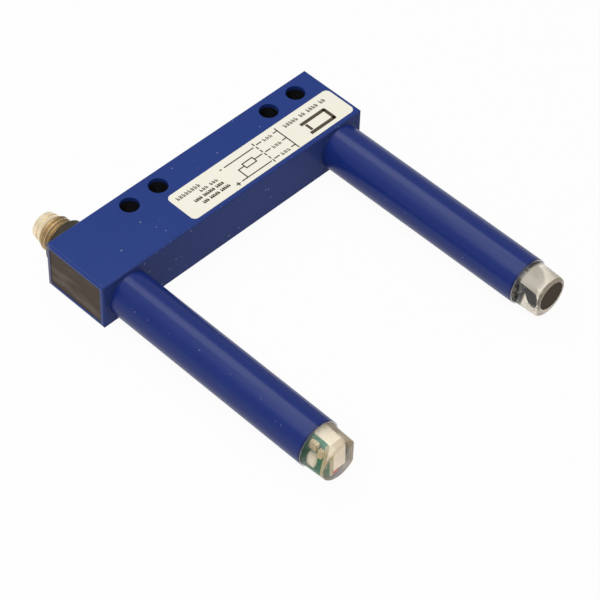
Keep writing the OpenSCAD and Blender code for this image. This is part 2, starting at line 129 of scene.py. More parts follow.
def new_finish(name, **constants):
    """A material with constant values on its shader, the shader's sockets, and Object coordinates."""
    finish = bpy.data.materials.new(name)
    finish.use_nodes = True
    shader = finish.node_tree.nodes["Principled BSDF"]
    for socket, value in constants.items():
        shader.inputs[socket.replace("_", " ")].default_value = value
    texture = finish.node_tree.nodes.new("ShaderNodeTexCoord")
    return finish, shader.inputs, Tone(finish.node_tree, texture.outputs["Object"])


def dress(finish, *names):
    """Gives CAD nodes their finish."""
    for name in names:
        nodes[name].data.materials.clear()
        nodes[name].data.materials.append(finish)


def dust(place, cell, share, size):
    """Specks: round dots in a share of a loose grid's cells, each up to this size, in cells."""
    chance = place.cells(1 / cell, 1).parts()
    reach = place.cells(1 / cell, 0)
    return (size * chance[1] - reach).rise(0.0, size * 0.35) * chance[0].rise(1 - share, 1.02 - share)


# The front face carries a haze of dust and painted reflection, and the end of the back wall by the
# receiver's arm is painted paler.
bar_low, bar_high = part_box("housing")
front_depth, end_depth, back_wall, soft = 0.0003, 0.0002, 0.0012, 0.0001
speck_grey = (0.30, 0.33, 0.45, 1)
bar_paint, paint, place = new_finish(
    "bar_paint", IOR=1.5, Specular_IOR_Level=0.05, Coat_IOR=1.5, Coat_Roughness=0.14)
across = place.parts()
front_face = across[1].rise(bar_low.y + front_depth + soft, bar_low.y + front_depth - soft)
cloud = place.noise(70, 3)
pigment = place.noise(2600, 1)
blue = (cloud * 0.7 + pigment * 0.3).mix((0.012, 0.037, 0.202, 1), (0.016, 0.046, 0.238, 1))
# Dust and painted reflection: a light brown-grey haze over the front face.
blue = (front_face * 0.07).mix(blue, (0.28, 0.24, 0.20, 1))
# The end face of the back wall by the receiver's arm is painted a paler grey-lilac.
pale_end_strip = across[0].rise(bar_low.x + end_depth + soft, bar_low.x + end_depth - soft)
pale_end_strip = pale_end_strip * across[1].rise(bar_high.y - back_wall - soft, bar_high.y - back_wall + soft)
blue = (pale_end_strip * 0.6).mix(blue, (0.17, 0.15, 0.19, 1))
specks = dust(place, 0.0017, 0.6, 0.15) + front_face * dust(place, 0.0009, 1.0, 0.22)
(specks * 0.7).mix(blue, speck_grey).feed(paint["Base Color"])
(0.42 + place.noise(400, 3) * 0.12 + front_face * 0.1).feed(paint["Roughness"])
(0.4 - front_face * 0.3).feed(paint["Coat Weight"])
(place.noise(1500, 2) + specks * 0.6).bump(0.06, 0.0001).feed(paint["Normal"])
dress(bar_paint, "housing")


# Casting resin
# Brown-black two-part resin poured into the bar round the electronics and levelled off
# Away from the ends it is painted near-black, as painted shade in the drilled holes.

resin_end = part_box("casting_resin")[1].x
resin_fill, resin, place = new_finish("resin_fill", IOR=1.5, Specular_IOR_Level=0.2)
smear = place.stretched((1, 0.3, 1), (math.radians(-52), 0, 0)).noise(330, 1).rise(0.46, 0.66)
grain = place.noise(1400, 3)
brown = grain.mix((0.059, 0.0405, 0.025, 1), (0.077, 0.0545, 0.034, 1))
brown = (smear * 0.6).mix(brown, (0.130, 0.101, 0.072, 1))
brown = (dust(place, 0.0013, 0.6, 0.12) * 0.4).mix(brown, (0.4, 0.37, 0.32, 1))
# Painted shade: away from the end faces the resin is near-black, so the drilled holes look dark.
ends = abs(place.parts()[0]).rise(resin_end - 0.00105, resin_end - 0.00065)
ends.mix((0.010, 0.010, 0.013, 1), brown).feed(resin["Base Color"])
(0.6 - smear * 0.12).feed(resin["Roughness"])
(grain * 0.4 + smear).bump(0.08, 0.0002).feed(resin["Normal"])
dress(resin_fill, "casting_resin")


# Main board and its parts
# A green glass-fibre board stands on edge in the resin. It carries the signal chip, regulator,
# transistor, diode and resistors in black mouldings, and a bright supply capacitor.

board_green, board, place = new_finish("board_green", IOR=1.5, Specular_IOR_Level=0.05)
weave = place.noise(2200, 1)
track = place.cells(900, 0).rise(0.28, 0.4)
lacquer = (weave * 0.5 + track * 0.4).mix((0.001, 0.115, 0.055, 1), (0.005, 0.215, 0.112, 1))
board_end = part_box("receiver_board")[0].y
bare_end = place.parts()[1].rise(board_end + 0.00035, board_end + 0.00022)
bare_end.mix(lacquer, weave.mix((0.44, 0.42, 0.27, 1), (0.60, 0.56, 0.38, 1))).feed(board["Base Color"])
(0.32 + weave * 0.12).feed(board["Roughness"])
(track + weave * 0.3).bump(0.2, 0.0001).feed(board["Normal"])
dress(board_green, "main_board", "receiver_board")

chip_black, chip, place = new_finish("chip_black", IOR=1.5, Specular_IOR_Level=0.4)
grain = place.noise(5200, 2)
grain.mix((0.012, 0.012, 0.013, 1), (0.028, 0.028, 0.030, 1)).feed(chip["Base Color"])
(0.45 + grain * 0.2).feed(chip["Roughness"])
grain.bump(0.25, 0.00005).feed(chip["Normal"])
dress(chip_black, "signal_chip", "voltage_regulator", "output_transistor", "protection_diode",
      "chip_resistors")

can_metal, can, place = new_finish("can_metal", Metallic=1.0)
drawn = place.stretched((1, 0.08, 1)).noise(6000, 2)
drawn.mix((0.62, 0.63, 0.64, 1), (0.78, 0.79, 0.80, 1)).feed(can["Base Color"])
(0.2 + drawn * 0.15).feed(can["Roughness"])
dress(can_metal, "supply_capacitor")


# Inner wires
# Thin stranded wires in coloured insulation run from the boards in the arms and from the
# connector's pins to the main board, all buried in the tubes and the resin.

wire_colours = {
    "red": (0.36, 0.025, 0.018, 1), "white": (0.72, 0.70, 0.66, 1), "black": (0.012, 0.012, 0.013, 1),
    "brown": (0.13, 0.048, 0.018, 1), "blue": (0.025, 0.07, 0.34, 1),
}
wire_runs = {
    "red": ("receiver_supply_wire", "emitter_anode_wire"), "white": ("receiver_signal_wire",),
    "black": ("receiver_ground_wire", "emitter_cathode_wire", "output_wire"),
    "brown": ("supply_wire",), "blue": ("ground_wire",),
}
for colour, runs in wire_runs.items():
    insulation, jacket, place = new_finish(colour + "_insulation", IOR=1.5)
    scuff = place.noise(1800, 3)
    faded = tuple(0.75 * c + 0.05 for c in wire_colours[colour][:3]) + (1,)
    (scuff * 0.6).mix(wire_colours[colour], faded).feed(jacket["Base Color"])
    (0.35 + scuff * 0.2).feed(jacket["Roughness"])
    dress(insulation, *runs)


# Connector body, core and pins
# A dark moulded collar sits on the bar's back face and holds the sleeve. The black core
# inside it is pressed round three gold-plated pins.

moulding, collar, place = new_finish("collar_moulding", IOR=1.5, Specular_IOR_Level=0.2)
grain = place.noise(3600, 3)
rubbed = place.noise(500, 3).rise(0.45, 0.75)
dark = grain.mix((0.028, 0.023, 0.014, 1), (0.046, 0.038, 0.025, 1))
(rubbed * 0.35).mix(dark, (0.070, 0.062, 0.046, 1)).feed(collar["Base Color"])
(0.42 + grain * 0.15).feed(collar["Roughness"])
grain.bump(0.2, 0.00006).feed(collar["Normal"])
dress(moulding, "connector_body", "insulating_core")

pin_gold, pin, place = new_finish("pin_gold", Metallic=1.0)
turned = place.stretched((0.1, 1, 0.1)).noise(9000, 2)
turned.mix((0.72, 0.53, 0.22, 1), (0.86, 0.67, 0.32, 1)).feed(pin["Base Color"])
(0.16 + turned * 0.14).feed(pin["Roughness"])
dress(pin_gold, "supply_pin", "ground_pin", "output_pin")


# Connector sleeve
# A turned brass sleeve, lightly plated, with a short M8 thread, a taper, a snap groove and
# a plain nose. It is pressed into the collar and screws into the cable's plug.

def clear_selection():
    if bpy.context.object and bpy.context.object.mode == "EDIT":
        bpy.ops.object.mode_set(mode="OBJECT")
    bpy.ops.object.select_all(action="DESELECT")


def activate(piece):
    clear_selection()
    piece.select_set(True)
    bpy.context.view_layer.objects.active = piece


def draw_line(points):
    """A new piece that holds one line through these points, left in edit mode and selected."""
    clear_selection()
    bpy.ops.mesh.primitive_plane_add(size=0.001, location=(0, 0, 0))
    bpy.ops.object.mode_set(mode="EDIT")
    bpy.ops.mesh.select_mode(type="VERT")
    bpy.ops.mesh.select_all(action="SELECT")
    bpy.ops.mesh.merge(type="CENTER")
    bpy.ops.transform.translate(value=points[0])
    for last, spot in zip(points, points[1:]):
        step = Vector(spot) - Vector(last)
        bpy.ops.mesh.extrude_vertices_move(TRANSFORM_OT_translate={"value": step})
    bpy.ops.mesh.select_all(action="SELECT")
    return bpy.context.object


def close_up():
    """Merges doubles and turns the faces of the piece in edit mode outwards."""
    bpy.ops.mesh.select_all(action="SELECT")
    bpy.ops.mesh.remove_doubles(threshold=1e-7)
    bpy.ops.mesh.normals_make_consistent(inside=False)


def cut(piece, tool):
    """Takes the tool's shape out of the piece, then throws the tool away."""
    activate(piece)
    made = piece.modifiers.new("cut", "BOOLEAN")
    made.operation = "DIFFERENCE"
    made.solver = "EXACT"
    made.object = tool
    bpy.ops.object.modifier_apply(modifier="cut")
    bpy.data.objects.remove(tool)


def settle(piece, name, finish, slot, *stands_for, angle=35):
    """Puts a finished piece's place into its mesh, dresses it and fixes it to the bar."""
    activate(piece)
    bpy.ops.object.transform_apply(location=True, rotation=True, scale=True)
    bpy.ops.object.shade_smooth_by_angle(angle=math.radians(angle))
    piece.name = name
    piece.data.materials.clear()
    piece.data.materials.append(finish)
    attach(piece, "root")
    if stands_for:
        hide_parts(*stands_for)


sleeve_low, sleeve_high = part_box("connector_sleeve")
plug_axis = (sleeve_low + sleeve_high) / 2
back_y = bar_high.y
bore_r, neck_r, thread_r, groove_r, nose_r, tip_r = 0.0027, 0.0034, 0.004, 0.0031, 0.0033, 0.003
thread_start, thread_end = back_y + 0.0034, back_y + 0.0058
taper_end, groove_end = back_y + 0.0071, back_y + 0.0074
chamfer, tip_in, tip_back = 0.0003, 0.00008, 0.00015
sleeve_outline = [
    (bore_r, sleeve_low.y), (neck_r, sleeve_low.y), (neck_r, thread_start),
    (thread_r - chamfer, thread_start), (thread_r, thread_start + chamfer),
    (thread_r, thread_end - chamfer), (thread_r - chamfer, thread_end),
    (nose_r, taper_end), (groove_r, taper_end), (groove_r, groove_end), (nose_r, groove_end),
    (tip_r + tip_in, sleeve_high.y - tip_back), (tip_r - tip_in, sleeve_high.y),
    (bore_r, sleeve_high.y), (bore_r, sleeve_low.y),
]
sleeve = draw_line([(plug_axis.x + r, y, plug_axis.z) for r, y in sleeve_outline])
bpy.ops.mesh.spin(steps=96, angle=2 * math.pi, center=plug_axis, axis=(0, 1, 0))
close_up()
thread_pitch = 0.001
root_r, mouth_r = thread_r - 0.0006, thread_r + 0.0001
root_half, mouth_half = 0.00004, 0.00047
groove = draw_line([(mouth_r, -mouth_half, 0), (root_r, -root_half, 0), (root_r, root_half, 0),
                    (mouth_r, mouth_half, 0), (mouth_r, -mouth_half, 0)])
bpy.ops.mesh.remove_doubles(threshold=1e-7)
bpy.ops.object.mode_set(mode="OBJECT")
groove.location = (plug_axis.x, thread_start - chamfer, plug_axis.z)
turns = groove.modifiers.new("turns", "SCREW")
turns.axis = "Y"
turns.steps = turns.render_steps = 64
turns.iterations = 3
turns.screw_offset = thread_pitch
bpy.ops.object.modifier_apply(modifier="turns")
bpy.ops.object.mode_set(mode="EDIT")
close_up()
bpy.ops.mesh.fill_holes(sides=4)
close_up()
cut(sleeve, groove)
# The cut leaves slivers along the thread, which are dissolved.
bpy.ops.object.mode_set(mode="EDIT")
bpy.ops.mesh.select_all(action="SELECT")
bpy.ops.mesh.dissolve_degenerate(threshold=2e-6)
close_up()
bpy.ops.object.mode_set(mode="OBJECT")

sleeve_brass, brass, place = new_finish("sleeve_brass", Metallic=0.6)
ring = place.stretched((0.04, 1, 0.04)).noise(2200, 2)
# Painted shade and inter-reflection: the thread and the neck by the collar are painted a deeper, darker
# gold.
thread_shade = place.parts()[1].rise(thread_end + 0.0008, thread_end - 0.0002)
thread_shade = thread_shade * (0.75 + place.noise(700, 2) * 0.2)
bright = ring.mix((0.93, 0.78, 0.53, 1), (0.97, 0.86, 0.63, 1))
thread_shade.mix(bright, (0.52, 0.37, 0.18, 1)).feed(brass["Base Color"])
(0.34 + ring * 0.06).feed(brass["Roughness"])
ring.bump(0.02, 0.00005).feed(brass["Normal"])
settle(sleeve, "threaded_sleeve", sleeve_brass, "sleeve_brass", "connector_sleeve", angle=28)


# Arms
# Two thin drawn aluminium tubes, let into the bar's front face and painted with it. The paint
# stops at the mouth, so the cut rim shows bare metal. Inside, the receiver's tube is the darker one.

def off_axis(spot, axis):
    """How far a spot lies beside and above an axis along Y, and how far from it in all."""
    side = spot[0] - axis.x
    height = spot[2] - axis.z
    return side, height, (side * side + height * height) ** 0.5


tube_low, tube_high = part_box("emitter_arm")
arm_axis = (tube_low + tube_high) / 2
tube_r = (tube_high.x - tube_low.x) / 2
mouth_y = tube_low.y
arm_paint, paint, place = new_finish(
    "arm_paint", IOR=1.5, Specular_IOR_Level=0.05, Coat_IOR=1.5, Coat_Roughness=0.22)
across = place.parts()
reach = off_axis([abs(across[0]), across[1], across[2]], arm_axis)[2]
bore = reach.rise(tube_r - 0.00025, tube_r - 0.00028)
at_mouth = across[1].rise(mouth_y + 0.00006, mouth_y + 0.00003)
rim = at_mouth * reach.rise(tube_r - 0.00003, tube_r - 0.00007)
bare = bore.most(rim)
drawn = place.stretched((1, 0.03, 1)).noise(3200, 2)
cloud = place.noise(90, 3)
pigment = place.noise(2600, 1)
blue = (cloud * 0.7 + pigment * 0.3).mix((0.008, 0.023, 0.158, 1), (0.012, 0.031, 0.192, 1))
# Painted shade: the paint's last fraction of a millimetre before the mouth is darkened to deep navy.
rim_paint_shade = across[1].rise(mouth_y + 0.0008, mouth_y + 0.0002)
blue = (rim_paint_shade * 0.75).mix(blue, (0.006, 0.012, 0.075, 1))
specks = dust(place, 0.0017, 0.5, 0.12)
blue = (specks * 0.45).mix(blue, speck_grey)
receiver_side = across[0].rise(0.001, -0.001)
inside = receiver_side.mix((0.93, 0.89, 0.81, 1), (0.22, 0.18, 0.13, 1))
metal = rim.mix(inside, drawn.mix((0.50, 0.49, 0.52, 1), (0.66, 0.65, 0.68, 1)))
bare.mix(blue, metal).feed(paint["Base Color"])
(rim * 0.8).feed(paint["Metallic"])
(0.38 + place.noise(300, 3) * 0.1).feed(paint["Roughness"])
(0.42 - bare * 0.42).feed(paint["Coat Weight"])
(drawn * 0.4 + place.noise(1500, 2) * 0.5 + specks * 0.5).bump(0.05, 0.0001).feed(paint["Normal"])
dress(arm_paint, "receiver_arm", "emitter_arm")

bead_paint, paint, place = new_finish("bead_paint", IOR=1.5, Specular_IOR_Level=0.15)
lumps = place.noise(900, 3)
lumps.mix((0.010, 0.020, 0.10, 1), (0.018, 0.036, 0.17, 1)).feed(paint["Base Color"])
(0.3 + lumps * 0.2).feed(paint["Roughness"])
lumps.bump(0.3, 0.0001).feed(paint["Normal"])
dress(bead_paint, "receiver_arm_bead", "emitter_arm_bead")


# Receiver's parts
# Soldered to the end of the receiver's board and cast into its clear head: the light receiver in
# a pale case, a red lamp under it, and on the board's other face an amplifier and two capacitors.

pale_case, case, place = new_finish("pale_case", IOR=1.5, Specular_IOR_Level=0.05)
grain = place.noise(2600, 3)
shade = place.noise(350, 2)
(grain * 0.4 + shade * 0.6).mix((0.96, 0.91, 0.80, 1), (0.99, 0.955, 0.87, 1)).feed(case["Base Color"])
(0.45 + grain * 0.2).feed(case["Roughness"])
dress(pale_case, "light_receiver", "receiver_amplifier")

tan_ceramic, ceramic, place = new_finish("tan_ceramic", IOR=1.5, Specular_IOR_Level=0.05)
grain = place.noise(4000, 3)
grain.mix((0.58, 0.48, 0.28, 1), (0.72, 0.62, 0.40, 1)).feed(ceramic["Base Color"])
(0.4 + grain * 0.2).feed(ceramic["Roughness"])
dress(tan_ceramic, "receiver_capacitor", "filter_capacitor")

red_lens, lamp, place = new_finish("red_lens", IOR=1.5, Specular_IOR_Level=0.05)
glow = place.noise(1500, 2)
glow.mix((0.50, 0.028, 0.005, 1), (0.66, 0.062, 0.016, 1)).feed(lamp["Base Color"])
(0.2 + glow * 0.1).feed(lamp["Roughness"])
dress(red_lens, "status_lamp")


# Clear heads
# Turned rods of clear resin, glued into the tubes' mouths, each with a flat polished window towards
# the other arm, and a dark film inside the mouth as painted shade. The receiver's is cast round its
# board. The emitter's is a prism: the slanted floor of the air pocket in its tip turns the diode's light
# to the window.

def pick_edges(test):
    """Selects only those edges of the piece in edit mode that pass the test."""
    bpy.ops.mesh.select_mode(type="EDGE")
    bpy.ops.mesh.select_all(action="DESELECT")
    mesh = bmesh.from_edit_mesh(bpy.context.object.data)
    for edge in mesh.edges:
        edge.select_set(bool(test(edge)))
    mesh.select_flush_mode()
    bmesh.update_edit_mesh(bpy.context.object.data)


def rod(x, z, y_from, y_to, radius, sides=96):
    """A round bar along Y, with its place in its mesh."""
    clear_selection()
    bpy.ops.mesh.primitive_cylinder_add(
        vertices=sides, radius=radius, depth=y_to - y_from,
        location=(x, (y_from + y_to) / 2, z), rotation=(math.pi / 2, 0, 0))
    bpy.ops.object.transform_apply(location=True, rotation=True, scale=True)
    return bpy.context.object


def block(low, high):
    """A square block between two corners, with its place in its mesh."""
    clear_selection()
    low, high = Vector(low), Vector(high)
    bpy.ops.mesh.primitive_cube_add(size=1, location=(low + high) / 2, scale=high - low)
    bpy.ops.object.transform_apply(location=True, rotation=True, scale=True)
    return bpy.context.object


window_gap = 0.0036


def head_rod(node, inward):
    """A head's turned body with a soft tip, cut flat on the side of the other arm: inward is 1 or -1."""
    low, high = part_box(node)
    axis = (low + high) / 2
    radius, edge = (high.z - low.z) / 2, 0.0003
    tip_r = radius - 0.00025
    outline = [(0, low.y)]
    for t in (0, 0.25, 0.5, 0.75, 1):
        bulge = 0.68 * t * (1 - t)
        outline.append((tip_r - edge * ((1 - t) ** 2 + bulge), low.y + edge * (t ** 2 + bulge)))
    outline += [(radius, mouth_y), (radius, high.y), (0, high.y)]
    body = draw_line([(axis.x + r, y, axis.z) for r, y in outline])
    bpy.ops.mesh.spin(steps=128, angle=2 * math.pi, center=axis, axis=(0, 1, 0))
    close_up()
    window_x = axis.x + inward * window_gap
    far = window_x + inward * radius
    waste = block((min(window_x, far), low.y - radius, low.z - radius),
                  (max(window_x, far), mouth_y, high.z + radius))
    cut(body, waste)
    return body, window_x


def ease_window(body, window_x):
    """Rounds the edges of a head's flat window a little."""
    activate(body)
    bpy.ops.object.mode_set(mode="EDIT")
    near = 1e-6
    pick_edges(lambda edge: edge.calc_face_angle(0) > 0.4 and all(
        abs(v.co.x - window_x) < near and v.co.y < mouth_y - near for v in edge.verts))
    bpy.ops.mesh.bevel(offset=0.00012, segments=2, profile=0.5, loop_slide=False)
    close_up()
    bpy.ops.object.mode_set(mode="OBJECT")


def film_over(finish, share, colour):
    """Lays a dull film over a finish: share says how much of it covers the surface."""
    tree = finish.node_tree
    film = share.node("ShaderNodeBsdfPrincipled", {},
                      {"Base Color": colour, "Roughness": 0.55, "Specular IOR Level": 0.1})
    bare = Tone(tree, tree.nodes["Principled BSDF"].outputs[0])
    share.node("ShaderNodeMixShader", {}, {0: share, 1: bare, 2: film}).feed(
        tree.nodes["Material Output"].inputs["Surface"])


def tint_depth(finish, place, colour, density):
    """Lets the clear resin take up some of the light on its way through."""
    place.node("ShaderNodeVolumeAbsorption", {}, {"Color": colour, "Density": density}).feed(
        finish.node_tree.nodes["Material Output"].inputs["Volume"])


def head_spots(place, low, axis):
    """Where a spot lies on a head, with masks of the tip, the turned side and the stretch inside the
    mouth that gets painted shade.
    """
    turned_r, blend = 0.0043, 0.0001
    across = place.parts()
    on = SimpleNamespace(along=across[1])
    on.side, on.height, on.reach = off_axis(across, axis)
    on.tip = on.along.rise(low.y + 4 * blend, low.y + blend)
    on.turned = on.reach.rise(turned_r - blend, turned_r + blend)
    on.glued = on.turned * on.along.rise(mouth_y + blend, mouth_y + 3 * blend)
    return on


# The receiver's film is thicker round the tip's edge and towards the window.
tip_low, tip_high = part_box("receiver_head")
cast_resin, cast, place = new_finish(
    "cast_resin", IOR=1.5, Specular_IOR_Level=0.25, Transmission_Weight=0.97)
on = head_spots(place, tip_low, (tip_low + tip_high) / 2)
haze = place.noise(260, 3)
cast_side = on.along.rise(tip_low.y + 0.0004, mouth_y)
edge = on.reach.rise(0.0036, 0.0042).most(on.side.rise(0.0022, 0.0027))
skin = on.tip * (0.04 + 0.22 * edge) + (1 - on.tip) * on.side.rise(0.001, 0.0025) * 0.35
# Inside the mouth the film is near-black: painted shade.
skin = skin * (1 - on.glued) + on.glued * 0.8
film_colour = on.tip.mix((0.84, 0.70, 0.51, 1), (0.62, 0.46, 0.31, 1))
film_over(cast_resin, skin, on.glued.mix(film_colour, (0.03, 0.027, 0.018, 1)))
haze.mix((0.98, 0.96, 0.91, 1), (0.995, 0.98, 0.945, 1)).feed(cast["Base Color"])
(0.05 + haze * 0.05 + cast_side * 0.3).feed(cast["Roughness"])
tint_depth(cast_resin, place, (0.94, 0.82, 0.62, 1), 110.0)
(haze + place.noise(1200, 2) * 0.2).bump(0.08, 0.0001).feed(cast["Normal"])
receiver_rod, receiver_window = head_rod("receiver_head", 1)
ease_window(receiver_rod, receiver_window)
settle(receiver_rod, "clear_receiver_rod", cast_resin, "clear_plastic", "receiver_head")

# The emitter's turned side and tip are satin under a dull film, frosted below, and its window is clear.
tip_low, tip_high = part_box("emitter_head")
emitter_axis = (tip_low + tip_high) / 2
clear_resin, clear, place = new_finish("clear_resin", IOR=1.5, Transmission_Weight=0.98)
on = head_spots(place, tip_low, emitter_axis)
polish = place.noise(260, 3)
scratch = place.stretched((1, 0.05, 1), (0.3, 0.5, 0.7)).noise(5200, 2).rise(0.66, 0.74)
polish.mix((0.96, 0.92, 0.84, 1), (0.985, 0.955, 0.89, 1)).feed(clear["Base Color"])
tint_depth(clear_resin, place, (0.94, 0.85, 0.70, 1), 40.0)
off_window = on.side.rise(0.00001 - window_gap, 0.00004 - window_gap)
satin = on.turned.most(on.tip) * off_window * (1 - on.glued)
outer = on.along.rise(mouth_y - 0.0003, mouth_y - 0.0012)
below = on.height.rise(0.0, -0.002) * (1 - on.tip)
# Inside the mouth the film is near-black: painted shade.
skin = satin * (on.tip * 0.34 + (1 - on.tip) * outer * (0.46 - 0.39 * below)) + on.glued * 0.9
film_colour = on.tip.mix((1.0, 0.92, 0.77, 1), (0.66, 0.52, 0.37, 1))
film_over(clear_resin, skin, on.glued.mix(film_colour, (0.02, 0.019, 0.024, 1)))
(0.02 + polish * 0.02 + satin * (0.08 + 0.87 * below)).feed(clear["Roughness"])
(polish + scratch * 0.1).bump(0.05, 0.0001).feed(clear["Normal"])
emitter_rod, emitter_window = head_rod("emitter_head", -1)
plug_low, plug_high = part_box("emitter_plug")
plug_fit, spare = 0.00005, 0.001
pocket_r = (plug_high.z - plug_low.z) / 2 + plug_fit
pocket_x = (plug_low.x + plug_high.x) / 2
pocket = rod(pocket_x, emitter_axis.z, plug_low.y - spare, plug_high.y + 2 * pocket_r + spare, pocket_r)
bpy.ops.object.mode_set(mode="EDIT")
bpy.ops.mesh.select_all(action="SELECT")
bpy.ops.mesh.bisect(plane_co=(pocket_x - pocket_r, plug_high.y, emitter_axis.z), plane_no=(-1, 1, 0),
                    use_fill=True, clear_outer=True)
close_up()
bpy.ops.object.mode_set(mode="OBJECT")
cut(emitter_rod, pocket)
# The domed seat is tight on the diode, so that resin and lens are in optical contact.
head_rear = tip_high.y
dome_r, diode_r, diode_l = 0.00237, 0.00247, 0.0054
diode_step = head_rear - diode_l
seat_arc = [(dome_r * math.cos(a), diode_step - dome_r * math.sin(a))
            for a in (math.radians(90 - 6 * i) for i in range(16))]
seat_arc[0] = (0.0, diode_step - dome_r)
seat_outline = seat_arc + [(diode_r, diode_step), (diode_r, head_rear + spare), (0.0, head_rear + spare)]
seat = draw_line([(emitter_axis.x + r, y, emitter_axis.z) for r, y in seat_outline])
bpy.ops.mesh.spin(steps=64, angle=2 * math.pi, center=emitter_axis, axis=(0, 1, 0))
close_up()
cut(emitter_rod, seat)
ease_window(emitter_rod, emitter_window)
settle(emitter_rod, "clear_emitter_rod", clear_resin, "clear_plastic", "emitter_head")


# Emitter's parts
# A dark-lensed infrared diode sits in the rear of the prism on a small round board with white
# lacquer, and a matte dark disc closes the air pocket at the tip.

dark_lens, lens, place = new_finish("dark_lens", IOR=1.55)
depth = place.noise(300, 2)
depth.mix((0.006, 0.006, 0.016, 1), (0.014, 0.014, 0.034, 1)).feed(lens["Base Color"])
(0.08 + depth * 0.06).feed(lens["Roughness"])
dress(dark_lens, "infrared_diode")

board_white, board, place = new_finish("board_white", IOR=1.5, Specular_IOR_Level=0.2)
weave = place.noise(2200, 1)
weave.mix((0.86, 0.83, 0.76, 1), (0.94, 0.92, 0.86, 1)).feed(board["Base Color"])
(0.4 + weave * 0.15).feed(board["Roughness"])
dress(board_white, "emitter_board")

dark_disc, disc, place = new_finish("dark_disc", IOR=1.5, Specular_IOR_Level=0.2)
grain = place.noise(2400, 3)
grain.mix((0.050, 0.037, 0.024, 1), (0.085, 0.066, 0.046, 1)).feed(disc["Base Color"])
(0.7 + grain * 0.2).feed(disc["Roughness"])
grain.bump(0.3, 0.0001).feed(disc["Normal"])
dress(dark_disc, "emitter_plug")


# Label
# A cream self-adhesive film with round corners, printed in brown with a wiring sketch, rows of fine
# ticks beside it, and a plain sketch of a fork and its beam at one end.

label_low, label_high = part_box("label")
corner_r, ink_t, mm = 0.0012, 0.00001, 0.001
clear_selection()
bpy.ops.mesh.primitive_plane_add(size=1, location=((label_low.x + label_high.x) / 2,
                                                   (label_low.y + label_high.y) / 2, label_low.z))
film = bpy.context.object
film.scale = (label_high.x - label_low.x, label_high.y - label_low.y, 1)
bpy.ops.object.transform_apply(location=True, rotation=True, scale=True)
bpy.ops.object.mode_set(mode="EDIT")
bpy.ops.mesh.select_all(action="SELECT")
bpy.ops.mesh.bevel(offset=corner_r, segments=10, affect="VERTICES")
bpy.ops.mesh.select_all(action="SELECT")
bpy.ops.mesh.extrude_region_move(
    TRANSFORM_OT_translate={"value": (0, 0, label_high.z - label_low.z - ink_t)})
close_up()
bpy.ops.object.mode_set(mode="OBJECT")
label_film, film_sockets, place = new_finish("label_film", IOR=1.48, Specular_IOR_Level=0.35)
fibre = place.noise(1800, 3)
age = place.noise(120, 3)
(fibre * 0.35 + age * 0.65).mix((0.93, 0.90, 0.765, 1), (0.975, 0.95, 0.825, 1)).feed(
    film_sockets["Base Color"])
(0.42 + fibre * 0.12).feed(film_sockets["Roughness"])
fibre.bump(0.05, 0.00005).feed(film_sockets["Normal"])
settle(film, "label_sheet", label_film, "label_paper", "label")


def stroke(x_from, y_from, x_to, y_to, width):
    """One printed line along X or Y, in millimetres, added to the print in edit mode."""
    spot = Vector((x_from + x_to, y_from + y_to, 0)) * mm / 2
    spot.z = label_high.z - ink_t
    spans = ((x_from, x_to), (y_from, y_to))
    wide, deep = (width if a == b else abs(b - a) + width / 2 for a, b in spans)
    bpy.ops.mesh.primitive_plane_add(size=1, location=spot)
    bpy.ops.transform.resize(value=(wide * mm, deep * mm, 1), center_override=spot)


def ticks(x_from, x_to, y, height, groups):
    """A row of fine ticks in groups of pairs, with the number of pairs in each group."""
    fine = 0.23
    pitch = (x_to - x_from) / (sum(groups) + 0.8 * (len(groups) - 1))
    x = x_from
    for group, pairs in enumerate(groups):
        for i in range(pairs):
            short = height * (0.5, 0.7, 0.6, 0.8)[(3 * i + 2 * group) % 4]
            stroke(x + 0.2 * pitch, y - height / 2, x + 0.2 * pitch, y + height / 2, fine)
            stroke(x + 0.6 * pitch, y - height / 2, x + 0.6 * pitch, y - height / 2 + short, fine)
            x += pitch
        x += 0.8 * pitch


# The print starts from a speck in the sketch's first dash. All places on it are in millimetres.
line, heavy = 0.30, 0.85
rail_x, dash_x, dash_pitch = 19.5, 12.9, 1.26
dash_high, dash_low = 0.15, -0.62
clear_selection()
bpy.ops.mesh.primitive_plane_add(size=0.1 * mm, location=(dash_x * mm, 0.2 * mm, label_high.z - ink_t))
ink = bpy.context.object
bpy.ops.object.transform_apply(location=True, rotation=True, scale=True)
bpy.ops.object.mode_set(mode="EDIT")
stroke(rail_x, dash_high, rail_x, -7.3, line)
for y in (-0.7, -3.5, -6.2):
    stroke(rail_x, y, 18.35, y, line)
    ticks(15.3, 17.9, y - 0.1, 0.8, [3])
    stroke(14.75, y, 13.4, y, line)
for i in range(6):
    stroke(dash_x, dash_high - dash_pitch * i, dash_x, dash_low - dash_pitch * i, line)
upper_y, middle_y, lower_y, sign_y = -0.9, -3.45, -6.3, -6.35
load_left, load_right, load_low, load_high = 7.25, 10.15, -4.16, -2.72
drop_x, sign_x = 5.55, 2.8
stroke(12.3, upper_y, 3.9, upper_y, line)
stroke(3.05, upper_y, 2.6, upper_y, line)
stroke(12.4, middle_y, load_right, middle_y, line)
for y in (load_high, load_low):
    stroke(load_right, y, load_left, y, line)
for x in (load_right, load_left):
    stroke(x, load_high, x, load_low, line)
stroke(load_left, middle_y, drop_x, middle_y, line)
stroke(drop_x, middle_y, drop_x, lower_y, line)
stroke(12.4, lower_y, 3.95, lower_y, line)
stroke(sign_x + 0.5, sign_y, sign_x - 0.5, sign_y, line)
stroke(sign_x, sign_y + 0.5, sign_x, sign_y - 0.5, line)
ticks(-6.1, 1.4, -5.2, 0.75, [3, 5, 5])
ticks(-7.2, 0.9, -3.75, 0.75, [4, 6, 4])
ticks(-4.4, 0.6, -2.35, 0.75, [3, 3])
ticks(-9.6, -3.1, -0.85, 0.95, [8])
